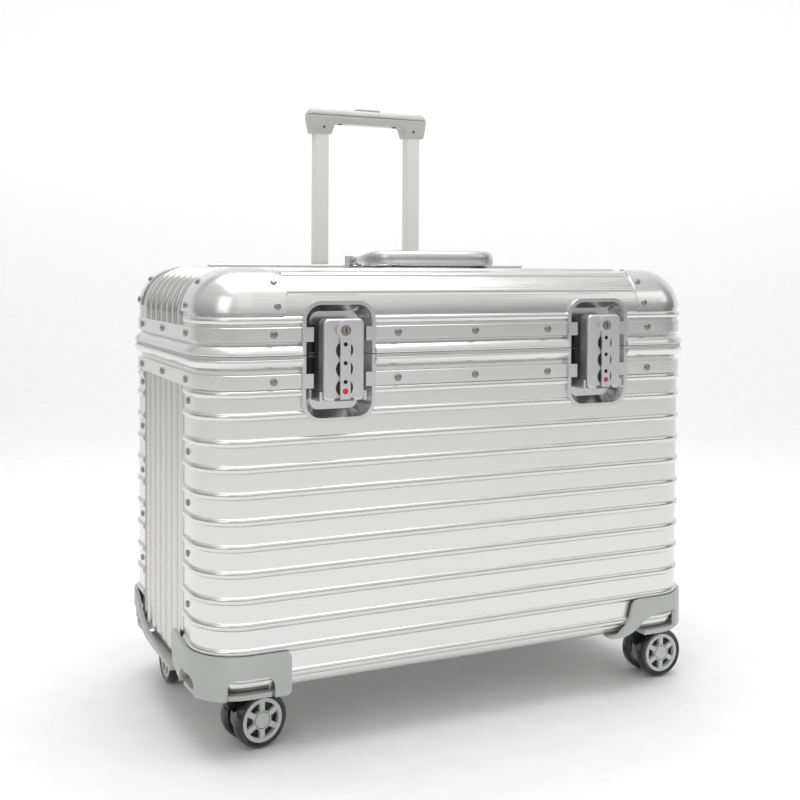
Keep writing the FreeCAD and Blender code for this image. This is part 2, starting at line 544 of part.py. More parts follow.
GL, GH = D["guard_low"], D["guard_high"]
skirt = rounded_prism(D["guard_proud"] + D["rib_proud"], GL, 100)
skirt = skirt.cut(rounded_prism(D["rib_proud"], LOW, 101)).cut(rounded_prism(-D["edge_rad"], GL - 1, LOW))


def mask(points, across, lo, hi):
    """A plate with the outline given in (along, up), standing across X or Y between lo and hi."""
    if across == "y":
        w = Part.makePolygon([V(p, lo, q) for p, q in points + [points[0]]])
        return Part.Face(w).extrude(V(0, hi - lo, 0))
    w = Part.makePolygon([V(lo, p, q) for p, q in points + [points[0]]])
    return Part.Face(w).extrude(V(hi - lo, 0, 0))


# Outlines of a guard's two arms, as distance along the face from the middle of the case and height.
SQUARE = [(262, 53), (176, 53), (172.6, 55), (172, 58), (172, 83), (172.8, 86.6), (175.5, 88.6), (180, 89), (262, 89)]
SWEEP = [(262, 89), (180, 89), (175, 88), (172, 85), (170.6, 80), (168.5, 72), (164, 65.5), (157, 59.5), (147, 55.2), (162, 55.0), (172, 58.5), (180, 64), (187, 69),
         (196, 72.2), (208, 73.4), (262, 73.4)]
SIDE_SQUARE = [(150, 53), (92, 53), (76, 56), (56, 62.5), (51.5, 65), (50, 69), (50, 90), (53, 93.5), (58, 94), (72, 91), (92, 89), (150, 89)]
SIDE_SWEEP = [(150, 89), (100, 89), (90, 87.5), (82, 83), (74, 75.5), (62, 68), (44, 62.5), (10, 59), (-44, 57), (-44, 54), (20, 54), (50, 55), (66, 59), (78, 66), (90, 71.5),
              (104, 73.4), (150, 73.4)]
SIDE_SHORT = [(150, 89), (100, 89), (92, 88), (86, 84), (80, 76), (72, 68), (60, 60), (44, 55.5), (62, 55), (76, 60), (86, 67), (96, 72), (106, 73.4), (150, 73.4)]


def guard(sx, sy, face_arm, side_arm):
    ox, oy = HW - R, HD - R
    a, b = sorted((sy * oy, sy * (HD + 20)))
    first = mask([(sx * p, q) for p, q in face_arm if p <= 262], "y", a, b)
    a, b = sorted((sx * ox, sx * (HW + 20)))
    second = mask([(sy * p, q) for p, q in side_arm], "x", a, b)
    xa, xb = sorted((sx * ox, sx * (HW + 20)))
    ya, yb = sorted((sy * oy, sy * (HD + 20)))
    low = 53 if face_arm is SQUARE else 73.4
    corner = solid_box(xa, xb, ya, yb, low, 89.0)
    flat_a = skirt.common(first.cut(solid_box(xa, xb, ya, yb, 0, 200)))
    flat_b = skirt.common(second.cut(solid_box(xa, xb, ya, yb, 0, 200)))
    g = skirt.common(corner).fuse(flat_a).fuse(flat_b)
    if face_arm is SQUARE:
        xa, xb = sorted((sx * 186, sx * 226))
        arch = solid_box(xa, xb, min(sy * 100, sy * 170), max(sy * 100, sy * 170), 40, 70.5)
        arch = arch.makeFillet(9, [e for e in arch.Edges if abs(e.tangentAt(e.FirstParameter).y) > 0.9 and all(v.Point.z > 60 for v in e.Vertexes)])
        g = g.cut(arch)
        ya, yb = sorted((sy * 76, sy * 108))
        arch = solid_box(min(sx * 212, sx * 290), max(sx * 212, sx * 290), ya, yb, 40, 69)
        arch = arch.makeFillet(8, [e for e in arch.Edges if abs(e.tangentAt(e.FirstParameter).x) > 0.9 and all(v.Point.z > 60 for v in e.Vertexes)])
        g = g.cut(arch)
    floor = Part.makeCylinder(29, LOW - GL, V(sx * D["stem_x"], sy * D["stem_y"], GL), V(0, 0, 1)).fuse(
        Part.makeCylinder(16, LOW - 52.2, V(sx * D["stem_x"], sy * D["stem_y"], 52.2), V(0, 0, 1)))
    # a web joins the stem boss to the skirt round the corner, under the case's lower edge
    web = rounded_prism(D["rib_proud"], GL, LOW).common(solid_box(min(sx * 188, sx * 260), max(sx * 188, sx * 260), min(sy * 78, sy * 150), max(sy * 78, sy * 150), 0, 100))
    lug = rounded_prism(D["guard_proud"] + D["rib_proud"], LOW - 1, 74).cut(rounded_prism(D["rib_proud"], LOW - 2, 75))
    lug = lug.common(rod((sx * (HW - 12), sy * (HD - 12), 0), (0, 0, 1), 13, 100))
    g = g.fuse(floor).fuse(web).fuse(lug)
    g = g.cut(rod((sx * D["stem_x"], sy * D["stem_y"], 40), (0, 0, 1), 4.05, 16.9))
    return g.removeSplitter()


for nm, sx, sy, fa, sa in (("front_left", -1, -1, SQUARE, SIDE_SQUARE), ("front_right", 1, -1, SWEEP, SIDE_SHORT),
                           ("back_left", -1, 1, SWEEP, SIDE_SWEEP), ("back_right", 1, 1, SWEEP, SIDE_SHORT)):
    feature("corner_guard_" + nm, guard(sx, sy, fa, sa))

# ---- casters: a fork on an upright stem, and a pair of spoked wheels on its axle ----
WR, OFF, TR = D["wheel_rad"], D["wheel_off"], D["trail"]


def caster(name, sx, sy, turn):
    where = FreeCAD.Placement(V(sx * D["stem_x"], sy * D["stem_y"], 0), FreeCAD.Rotation(V(0, 0, 1), turn))
    hub = Part.makeCylinder(12.5, 3.4, V(0, 0, 48.5)).fuse(Part.makeCylinder(4.0, 5.4, V(0, 0, 51.4)))
    prof = Part.makePolygon([V(-11, -4, 49), V(-12, -4, 45), V(-7, -4, 35), V(TR - 8, -4, WR - 4), V(TR - 3, -4, WR - 8), V(TR + 5, -4, WR - 7), V(TR + 8.5, -4, WR), V(TR + 6, -4, WR + 8), V(12, -4, 49), V(-11, -4, 49)])
    arm = Part.Face(prof).extrude(V(0, 8, 0))
    pin = Part.makeCylinder(2.4, 2 * OFF + 9, V(TR, -OFF - 4.5, WR), V(0, 1, 0))
    feature("caster_fork_" + name, hub.fuse(arm).fuse(pin).removeSplitter(), where)
    rims, tyres = [], []
    for s in (-1, 1):
        y0 = s * OFF
        hw = D["tyre_wide"] / 2
        sec = Part.makePolygon([V(D["rim_rad"], -hw + 1.2, 0), V(WR - 2.2, -hw, 0), V(WR - 0.5, -hw + 2, 0), V(WR, -1.5, 0), V(WR, 1.5, 0), V(WR - 0.5, hw - 2, 0), V(WR - 2.2, hw, 0), V(D["rim_rad"], hw - 1.2, 0), V(D["rim_rad"], -hw + 1.2, 0)])
        t = Part.Face(sec).revolve(V(0, 0, 0), V(0, 1, 0), 360)
        t.translate(V(TR, y0, WR))
        tyres.append(t)
        r = Part.makeCylinder(D["rim_rad"], 10, V(TR, y0 - 5, WR), V(0, 1, 0))
        r = r.cut(Part.makeCylinder(15.2, 20, V(TR, y0 + s * 1.0 if s > 0 else y0 - 21, WR), V(0, 1, 0)))
        boss = Part.makeCylinder(8.2, 5.0, V(TR, y0 if s > 0 else y0 - 5.0, WR), V(0, 1, 0))
        spokes = []
        for k in range(6):
            b = Part.makeBox(11, 3.6, 4.6, V(5.5, y0 + (1.0 if s > 0 else -4.6), -2.3))
            b.rotate(V(0, 0, 0), V(0, 1, 0), 60 * k + 30)
            b.translate(V(TR, 0, WR))
            spokes.append(b)
        r = r.multiFuse([boss] + spokes)
        r = r.cut(Part.makeCylinder(2.45, 9.9, V(TR, y0 - 5.4 if s > 0 else y0 - 4.5, WR), V(0, 1, 0)))
        rims.append(r)
    feature("caster_tyres_" + name, Part.makeCompound(tyres), where)
    feature("caster_rims_" + name, Part.makeCompound(rims), where)


caster("front_left", -1, -1, 10)
caster("front_right", 1, -1, 0)
caster("back_left", -1, 1, -90)
caster("back_right", 1, 1, 35)

# ---- checks, then one file for each sub-part ----
doc.recompute()
bad = [o.Label for o in doc.Objects if "Invalid" in o.State or "Error" in o.State]
if bad:
    raise RuntimeError("objects failed: %s" % bad)
for name, o in NODES:
    if o.Shape.isNull() or not o.Shape.isValid() or not o.Shape.Solids:
        raise RuntimeError("bad shape: " + name)
if len({n for n, o in NODES}) != len(NODES) or len(NODES) > 60:
    raise RuntimeError("node names")
os.makedirs("parts", exist_ok=True)
for name, o in NODES:
    o.Shape.exportStep("parts/%s.step" % name)
print(len(NODES), "nodes")
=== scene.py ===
import bpy, bmesh, math, json
from mathutils import Vector, Matrix


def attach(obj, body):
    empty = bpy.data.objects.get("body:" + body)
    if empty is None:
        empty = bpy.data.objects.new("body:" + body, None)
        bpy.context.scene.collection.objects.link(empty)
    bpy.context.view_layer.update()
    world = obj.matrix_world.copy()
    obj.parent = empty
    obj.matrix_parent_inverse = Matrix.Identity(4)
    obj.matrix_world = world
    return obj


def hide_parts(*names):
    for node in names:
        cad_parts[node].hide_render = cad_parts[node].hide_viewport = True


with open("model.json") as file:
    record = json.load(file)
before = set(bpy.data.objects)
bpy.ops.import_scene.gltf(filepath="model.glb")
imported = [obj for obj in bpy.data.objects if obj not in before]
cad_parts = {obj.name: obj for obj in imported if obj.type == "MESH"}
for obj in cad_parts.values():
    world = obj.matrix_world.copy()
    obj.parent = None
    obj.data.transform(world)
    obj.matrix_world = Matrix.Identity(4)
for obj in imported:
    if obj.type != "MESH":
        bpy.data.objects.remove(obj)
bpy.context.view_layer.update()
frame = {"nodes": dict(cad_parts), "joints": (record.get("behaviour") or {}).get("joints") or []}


# ---------------------------------------------------------------- materials
def new_mat(name):
    m = bpy.data.materials.new(name)
    m.use_nodes = True
    nt = m.node_tree
    nt.nodes.clear()
    out = nt.nodes.new("ShaderNodeOutputMaterial")
    bsdf = nt.nodes.new("ShaderNodeBsdfPrincipled")
    nt.links.new(bsdf.outputs[0], out.inputs[0])
    return m, nt, bsdf


def coords(nt, scale=(1, 1, 1)):
    tc = nt.nodes.new("ShaderNodeTexCoord")
    mp = nt.nodes.new("ShaderNodeMapping")
    mp.inputs["Scale"].default_value = scale
    nt.links.new(tc.outputs["Object"], mp.inputs["Vector"])
    return mp.outputs[0]


def noise(nt, vec, scale, detail=3.0, rough=0.5):
    n = nt.nodes.new("ShaderNodeTexNoise")
    n.inputs["Scale"].default_value = scale
    n.inputs["Detail"].default_value = detail
    n.inputs["Roughness"].default_value = rough
    nt.links.new(vec, n.inputs["Vector"])
    return n.outputs["Fac"]


def ramp(nt, fac, stops):
    r = nt.nodes.new("ShaderNodeValToRGB")
    r.color_ramp.elements[0].position = stops[0][0]
    r.color_ramp.elements[0].color = (*stops[0][1], 1)
    r.color_ramp.elements[1].position = stops[-1][0]
    r.color_ramp.elements[1].color = (*stops[-1][1], 1)
    for p, c in stops[1:-1]:
        e = r.color_ramp.elements.new(p)
        e.color = (*c, 1)
    nt.links.new(fac, r.inputs[0])
    return r.outputs[0]


def span(nt, fac, lo, hi, a=0.3, b=0.7):
    m = nt.nodes.new("ShaderNodeMapRange")
    m.inputs["From Min"].default_value = a
    m.inputs["From Max"].default_value = b
    m.inputs["To Min"].default_value = lo
    m.inputs["To Max"].default_value = hi
    nt.links.new(fac, m.inputs["Value"])
    return m.outputs[0]


def bump(nt, bsdf, height, strength, distance):
    b = nt.nodes.new("ShaderNodeBump")
    b.inputs["Strength"].default_value = strength
    b.inputs["Distance"].default_value = distance
    nt.links.new(height, b.inputs["Height"])
    nt.links.new(b.outputs[0], bsdf.inputs["Normal"])


def grey(v, warm=0.0):
    return (v * (1 + warm), v, v * (1 - warm))


def brushed(name, lo, hi, rough, along="x", fine=900, strength=0.25, warm=0.0, rough_var=0.08):
    """Metal with fine scratches along one axis, over slow changes of tone and polish."""
    m, nt, s = new_mat(name)
    sc = {"x": (0.02, 1, 1), "y": (1, 0.02, 1), "z": (1, 1, 0.02)}[along]
    lines = noise(nt, coords(nt, sc), fine, 4, 0.6)
    slow = noise(nt, coords(nt), 6, 3, 0.5)
    mix = nt.nodes.new("ShaderNodeMath")
    mix.operation = "MULTIPLY_ADD"
    mix.inputs[1].default_value = 0.35
    nt.links.new(slow, mix.inputs[0])
    half = nt.nodes.new("ShaderNodeMath")
    half.operation = "MULTIPLY"
    half.inputs[1].default_value = 0.65
    nt.links.new(lines, half.inputs[0])
    nt.links.new(half.outputs[0], mix.inputs[2])
    tone = ramp(nt, mix.outputs[0], [(0.3, grey(lo, warm)), (0.7, grey(hi, warm))])
    nt.links.new(tone, s.inputs["Base Color"])
    s.inputs["Metallic"].default_value = 1.0
    nt.links.new(span(nt, mix.outputs[0], rough - rough_var, rough + rough_var), s.inputs["Roughness"])
    s.inputs["Anisotropic"].default_value = 0.35
    bump(nt, s, lines, strength, 0.00006)
    return m


def plastic(name, lo, hi, rough, grain=1400, strength=0.15, coat=0.0):
    m, nt, s = new_mat(name)
    slow = noise(nt, coords(nt), 14, 4, 0.55)
    fine = noise(nt, coords(nt), grain, 2, 0.5)
    nt.links.new(ramp(nt, slow, [(0.35, lo), (0.65, hi)]), s.inputs["Base Color"])
    nt.links.new(span(nt, slow, rough - 0.05, rough + 0.06), s.inputs["Roughness"])
    s.inputs["Coat Weight"].default_value = coat
    s.inputs["Coat Roughness"].default_value = 0.12
    bump(nt, s, fine, strength, 0.00008)
    return m


def cloth(name, lo, hi, pitch=0.0016):
    m, nt, s = new_mat(name)
    c = coords(nt)
    waves = []
    for d in ("X", "Z"):
        w = nt.nodes.new("ShaderNodeTexWave")
        w.bands_direction = d
        w.inputs["Scale"].default_value = 0.3 / pitch
        w.inputs["Distortion"].default_value = 0.6
        nt.links.new(c, w.inputs["Vector"])
        waves.append(w.outputs["Fac"])
    mx = nt.nodes.new("ShaderNodeMath")
    mx.operation = "MAXIMUM"
    nt.links.new(waves[0], mx.inputs[0])
    nt.links.new(waves[1], mx.inputs[1])
    nt.links.new(ramp(nt, mx.outputs[0], [(0.1, lo), (0.9, hi)]), s.inputs["Base Color"])
    s.inputs["Roughness"].default_value = 0.85
    s.inputs["Sheen Weight"].default_value = 0.3
    bump(nt, s, mx.outputs[0], 0.5, 0.0003)
    return m


M = {
    "sheet": brushed("sheet_metal", 0.68, 0.75, 0.22, "x", 1100, 0.10, 0.006),
    # painted shade: the side panels are the same alloy as the front sheet, given a darker tone here so the
    # sides read darker
    "side": brushed("side_metal", 0.58, 0.66, 0.24, "z", 1100, 0.09, 0.006),
    "frame": brushed("frame_metal", 0.70, 0.78, 0.22, "x", 1300, 0.07, 0.004),
    "cap": brushed("cap_metal", 0.74, 0.80, 0.20, "x", 800, 0.04, 0.004, 0.04),
    "rivet": brushed("rivet_metal", 0.24, 0.33, 0.18, "x", 1500, 0.03, 0, 0.04),
    "plate": brushed("plate_metal", 0.60, 0.70, 0.22, "x", 1400, 0.06),
    "lever": brushed("lever_metal", 0.62, 0.68, 0.36, "z", 1500, 0.05, 0, 0.04),
    "brass": brushed("key_brass", 0.26, 0.34, 0.32, "x", 1500, 0.1, 0.16),
    "handle": brushed("handle_metal", 0.62, 0.67, 0.27, "x", 1300, 0.01, 0, 0.03),
    "hinge": brushed("hinge_steel", 0.55, 0.66, 0.30, "x", 1300, 0.15),
    "tube": plastic("tube_satin", (0.74, 0.75, 0.73), (0.79, 0.80, 0.78), 0.36, 1500, 0.06, 0.2),
    "gasket": plastic("pale_seal", (0.52, 0.53, 0.52), (0.60, 0.61, 0.60), 0.55),
    "guard": plastic("guard_plastic", (0.42, 0.43, 0.405), (0.47, 0.48, 0.45), 0.42, 1500, 0.2),
    "grip_top": plastic("grip_top_plastic", (0.48, 0.495, 0.48), (0.53, 0.545, 0.525), 0.28, 1500, 0.08, 0.3),
    "dark_metal": brushed("dark_metal", 0.16, 0.22, 0.35, "x", 1300, 0.1),
    "grip": plastic("grip_plastic", (0.45, 0.465, 0.45), (0.50, 0.515, 0.495), 0.32, 1500, 0.08, 0.3),
    "button": plastic("button_plastic", (0.40, 0.43, 0.41), (0.45, 0.48, 0.455), 0.35, 1500, 0.08),
    "black": plastic("black_plastic", (0.012, 0.012, 0.014), (0.022, 0.022, 0.024), 0.38, 1600, 0.15),
    "dial": plastic("dial_plastic", (0.010, 0.010, 0.011), (0.016, 0.016, 0.017), 0.3),
    "tyre": plastic("tyre_black", (0.010, 0.010, 0.012), (0.018, 0.018, 0.020), 0.24, 900, 0.06, 0.4),
    "rim": plastic("rim_grey", (0.54, 0.55, 0.54), (0.61, 0.62, 0.61), 0.35),
    "lining": cloth("lining_cloth", (0.035, 0.038, 0.045), (0.075, 0.08, 0.09)),
    "red": plastic("red_enamel", (0.45, 0.015, 0.02), (0.55, 0.02, 0.025), 0.25, 1500, 0.03, 0.5),
}
# node name prefixes, by the material they take; every other node is sheet metal
PREFIXES = {
    "black": ["caster_fork"],
    "tyre": ["caster_tyres"],
    "rim": ["caster_rims"],
    "guard": ["corner_guard"],
    "dial": ["latch_dial"],
    "lever": ["latch_lever"],
    "brass": ["key_"],
    "plate": ["latch_plates"],
    "rivet": ["case_rivets", "lid_rivets"],
    "cap": ["lid_corner_caps", "rear_corner_caps"],
    "frame": ["base_frame", "lid_frame", "rear_deck_frame"],
    "hinge": ["hinge_", "handle_brackets"],
    "gasket": ["rim_gasket"],
    "handle": ["carry_handle"],
    "lining": ["base_lining", "lid_lining"],
    "grip": ["trolley_grip", "trolley_bezel"],
    "button": ["trolley_button"],
    "tube": ["trolley_inner", "trolley_mid", "trolley_outer"],
    "side": ["left_side_panel", "right_side_panel", "lid_side_panels"],
}


def material_for(node):
    for key, prefixes in PREFIXES.items():
        if node.startswith(tuple(prefixes)):
            return M[key]
    return M["sheet"]


for name in frame["nodes"]:
    o = bpy.data.objects[name]
    mat = material_for(name)
    if not o.material_slots:
        o.data.materials.append(mat)
    for sl in o.material_slots:
        sl.material = mat


# ---------------------------------------------------------------- pieces
MM = 0.001


def mesh_object(name, verts, faces, smooth=True):
    me = bpy.data.meshes.new(name)
    me.from_pydata(verts, [], faces)
    me.update()
    bm = bmesh.new()
    bm.from_mesh(me)
    bmesh.ops.recalc_face_normals(bm, faces=bm.faces)
    bm.to_mesh(me)
    bm.free()
    if smooth:
        for p in me.polygons:
            p.use_smooth = True
    o = bpy.data.objects.new(name, me)
    bpy.context.scene.collection.objects.link(o)
    return o


def finish_piece(o, mat, body, *nodes, bevel=None, segments=3):
    o.data.materials.append(mat)
    if bevel:
        m = o.modifiers.new("bevel", "BEVEL")
        m.width = bevel
        m.segments = segments
        m.limit_method = "ANGLE"
        m.angle_limit = math.radians(25)
        m.harden_normals = False
        dg = bpy.context.evaluated_depsgraph_get()
        me = bpy.data.meshes.new_from_object(o.evaluated_get(dg))
        o.modifiers.clear()
        o.data = me
    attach(o, body)
    if nodes:
        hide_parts(*nodes)
    return o


def tube_of_sections(rings):
    """Joins rings of equal length into a skin, closed at both ends."""
    verts, faces = [], []
    n = len(rings[0])
    for r in rings:
        verts += [tuple(p) for p in r]
    for i in range(len(rings) - 1):
        for j in range(n):
            k = (j + 1) % n
            faces.append((i * n + j, i * n + k, (i + 1) * n + k, (i + 1) * n + j))
    faces.append(tuple(range(n)))
    faces.append(tuple(range((len(rings) - 1) * n, len(rings) * n)))
    return verts, faces


def super_ring(c, u, v, a, b, power, n=32):
    out = []
    for k in range(n):
        t = 2 * math.pi * k / n
        ct, st = math.cos(t), math.sin(t)
        x = a * math.copysign(abs(ct) ** (2 / power), ct)
        y = b * math.copysign(abs(st) ** (2 / power), st)
        out.append(c + u * x + v * y)
    return out


def spline(a, b, c, d, t):
    """Catmull-Rom value between b and c."""
    bend = (2 * a - 5 * b + 4 * c - d) * t * t
    return 0.5 * ((2 * b) + (-a + c) * t + bend + (-a + 3 * b - 3 * c + d) * t ** 3)


def carry_handle():
    """A bail swept along a flat U: slim feet swelling into a thick rounded grip (millimetres)."""
    # centre x, y, z and half width, half height of each section
    half = [
        (-58.0, 3.0, 410.6, 3.6, 4.2), (-58.4, -4, 410.6, 4.0, 4.4), (-59.5, -14, 410.2, 4.8, 4.6),
        (-60.4, -26, 410.2, 5.8, 5.4), (-60.0, -36, 410.8, 7.0, 6.6), (-57.6, -46, 411.6, 8.2, 7.6),
        (-52.4, -54.5, 412.1, 9.0, 8.0), (-44, -59.2, 412.2, 9.4, 8.1), (-33, -60.4, 412.2, 9.6, 8.15),
        (-18, -60.7, 412.2, 9.7, 8.15), (0, -60.8, 412.2, 9.7, 8.15),
    ]
    pts = half + [(-x, y, z, a, b) for x, y, z, a, b in reversed(half[:-1])]
    fine = []
    for i in range(len(pts) - 1):
        p0, p1, p2, p3 = pts[max(i - 1, 0)], pts[i], pts[i + 1], pts[min(i + 2, len(pts) - 1)]
        for k in range(4):
            t = k / 4
            fine.append(tuple(spline(*four, t) for four in zip(p0, p1, p2, p3)))
    fine.append(pts[-1])
    rings = []
    for i, (x, y, z, a, b) in enumerate(fine):
        q, r = fine[max(i - 1, 0)], fine[min(i + 1, len(fine) - 1)]
        d = Vector((r[0] - q[0], r[1] - q[1], 0)).normalized()
        side = Vector((d.y, -d.x, 0))
        ring = super_ring(Vector((x, y, z)), side, Vector((0, 0, 1)), a, b, 2.7, 36)
        rings.append([p * MM for p in ring])
    first, last = rings[0], rings[-1]
    for end, at in ((first, 0), (last, len(rings))):
        c = sum((Vector(p) for p in end), Vector()) / len(end)
        out = Vector((0, 0.0012, 0))
        cap = [c + (Vector(p) - c) * 0.7 + out for p in end]
        rings.insert(at if at == 0 else len(rings), cap)
    v, f = tube_of_sections(rings)
    o = mesh_object("carry_handle_bail", v, f)
    finish_piece(o, M["handle"], "carry_handle", "carry_handle")


def outline_extrude(name, pts, y0, y1):
    """A closed outline in XZ (millimetres) given depth in Y."""
    n = len(pts)
    verts = [(x * MM, y * MM, z * MM) for y in (y0, y1) for x, z in pts]
    faces = [tuple(range(n)), tuple(range(2 * n - 1, n - 1, -1))]
    for i in range(n):
        j = (i + 1) % n
        faces.append((i, n + i, n + j, j))
    return mesh_object(name, verts, faces)


def make_room(o, mover, gap, travel):
    """Cuts a pocket in a piece for a part that presses down into it."""
    pts = [mover.matrix_world @ v.co for v in mover.data.vertices]
    lo = [min(p[i] for p in pts) - gap for i in range(3)]
    hi = [max(p[i] for p in pts) + gap for i in range(3)]
    lo[2] -= travel
    hi[2] += travel
    plan = [(lo[0], lo[1]), (hi[0], lo[1]), (hi[0], hi[1]), (lo[0], hi[1])]
    corners = [(x, y, z) for z in (lo[2], hi[2]) for x, y in plan]
    faces = [(0, 3, 2, 1), (4, 5, 6, 7), (0, 1, 5, 4), (1, 2, 6, 5), (2, 3, 7, 6), (3, 0, 4, 7)]
    cutter = mesh_object("cutter", corners, faces, smooth=False)
    m = o.modifiers.new("pocket", "BOOLEAN")
    m.operation = "DIFFERENCE"
    m.solver = "EXACT"
    m.object = cutter
    me = bpy.data.meshes.new_from_object(o.evaluated_get(bpy.context.evaluated_depsgraph_get()))
    o.modifiers.clear()
    o.data = me
    bpy.data.objects.remove(cutter, do_unlink=True)


def trolley_grip():
    cy = 107.0
    lower = [
        (-64.2, 543.6), (-43.0, 543.6), (-41.2, 549.0), (-39.6, 553.4), (-36.5, 555.0),
        (36.5, 555.0), (39.6, 553.4), (41.2, 549.0), (43.0, 543.6), (64.2, 543.6),
        (66.4, 553.0), (67.8, 563.2), (-67.8, 563.2), (-66.4, 553.0),
    ]
    o = outline_extrude("trolley_grip_lower", lower, cy - 8.4, cy + 8.4)
    finish_piece(o, M["grip"], "trolley_inner", "trolley_grip", bevel=0.0014, segments=4)
    rings = []
    levels = [
        (563.5, 67.6, 8.2), (563.9, 67.9, 8.45), (565.4, 67.4, 8.2),
        (568.0, 66.0, 6.9), (569.5, 64.4, 5.6), (569.9, 62.6, 4.4),
    ]
    for z, hx, hy in levels:
        ring = []
        ix, iy = hx - 3, hy - 3
        for cx, cyy, a0 in ((ix, iy, 0), (-ix, iy, 90), (-ix, -iy, 180), (ix, -iy, 270)):
            for k in range(5):
                a = math.radians(a0 + 22.5 * k)
                ring.append(Vector((cx + 3 * math.cos(a), cy + cyy + 3 * math.sin(a), z)) * MM)
        rings.append(ring)
    v, f = tube_of_sections(rings)
    o = mesh_object("trolley_grip_top", v, f)
    make_room(o, bpy.data.objects["trolley_button"], 0.0004, 0.0025)
    finish_piece(o, M["grip_top"], "trolley_inner", "trolley_grip")
    for sx in (-1, 1):
        side = "left" if sx < 0 else "right"
        screw_at, plug_at = (sx * 52.0, cy - 8.35, 550.4), (sx * 31.5, cy - 2.0, 555.05)
        dome_piece("grip_screw_" + side, screw_at, (0, -1, 0), 1.25, 0.35, M["black"], "trolley_inner")
        dome_piece("grip_plug_" + side, plug_at, (0, 0, -1), 2.6, 0.9, M["black"], "trolley_inner")


def turned(q, at, r, h, k, n):
    """Point k of n on a circle of radius r at height h, turned by q and moved to a place in millimetres."""
    a = 2 * math.pi * k / n
    return (q @ Vector((r * math.cos(a), r * math.sin(a), h)) + Vector(at)) * MM


def dome_piece(name, at, out, rad, high, mat, body, flat=0.0):
    """A small turned button: a disc with a rounded rim."""
    n = 28
    top = (rad * max(flat, 0.35), high * (1.0 if flat else 1.08))
    prof = [(rad, 0.0), (rad, high * 0.45), (rad * 0.93, high * 0.8), (rad * 0.78, high), top]
    q = Vector((0, 0, 1)).rotation_difference(Vector(out))
    rings = []
    for r, h in prof:
        rings.append([turned(q, at, r, h, k, n) for k in range(n)])
    v, f = tube_of_sections(rings)
    o = mesh_object(name, v, f)
    return finish_piece(o, mat, body)


def ring_piece(name, at, out, r0, r1, high, mat, body):
    """A raised flat ring with softened edges."""
    n = 40
    q = Vector((0, 0, 1)).rotation_difference(Vector(out))
    e = min(0.15, (r1 - r0) / 4)
    prof = [(r0, 0), (r0, high - e), (r0 + e, high), (r1 - e, high), (r1, high - e), (r1, 0)]
    verts, faces = [], []
    for r, h in prof:
        for k in range(n):
            verts.append(tuple(turned(q, at, r, h, k, n)))
    m = len(prof)
    for i in range(m):
        for k in range(n):
            a, b = i * n, ((i + 1) % m) * n
            faces.append((a + k, a + (k + 1) % n, b + (k + 1) % n, b + k))
    return finish_piece(mesh_object(name, verts, faces), mat, body)


def latch_details():
    for side, sx in (("left", -1), ("right", 1)):
        x = sx * 130.0
        lever = "latch_lever_" + side
        dome_piece("latch_dot_" + side, (x, -147.35, 302.2), (0, -1, 0), 2.5, 0.35, M["red"], lever, 0.6)
        ring_piece("key_ring_" + side, (x, -147.95, 352.5), (0, -1, 0), 3.55, 4.6, 0.35, M["brass"], lever)
        # painted shade: flat black strips beside each lever stand in for the shadowed depth of the slots in
        # the latch pocket
        for part, z0, z1, body in (("low", 303.5, 328.6, "case"), ("high", 333.2, 356.5, "lid")):
            for s in (-1, 1):
                x0, x1 = sorted((x + s * 17.2, x + s * 22.6))
                pts = [(x0, z0), (x1 - 0.8, z0), (x1, z0 + 0.8), (x1, z1 - 0.8), (x1 - 0.8, z1), (x0, z1)]
                name = "latch_slot_%s_%s_%s" % (side, part, "a" if s < 0 else "b")
                o = outline_extrude(name, pts, -121.85, -121.3)
                finish_piece(o, M["black"], body, bevel=0.0001, segments=2)
        pts = [
            (x - 8.5, 294.0), (x + 8.5, 294.0), (x + 8.5, 295.6),
            (x + 7.5, 296.6), (x - 7.5, 296.6), (x - 8.5, 295.6),
        ]
        o = outline_extrude("latch_tab_" + side, pts, -145.9, -144.6)
        finish_piece(o, M["dark_metal"], lever, bevel=0.0002, segments=2)


def wheel_details():
    for joint in frame["joints"]:
        if not joint["name"].endswith("_roll"):
            continue
        key = joint["name"][7:-5]
        c = Vector(joint["pos_m"]) * 1000
        ax = Vector(joint["axis"]).normalized()
        for s in (-1, 1):
            out = ax * s
            base = c + ax * (s * 11.5)
            tag = key + ("_a" if s < 0 else "_b")
            wheel = "caster_wheels_" + key
            # painted shade: flat black rings darken the recessed dish between hub and tyre and the groove on
            # the hub
            ring_piece("wheel_well_" + tag, base + out * 0.95, out, 8.25, 15.15, 0.22, M["black"], wheel)
            ring_piece("wheel_groove_" + tag, base + out * 4.85, out, 6.7, 7.25, 0.28, M["black"], wheel)


carry_handle()
trolley_grip()
latch_details()
wheel_details()


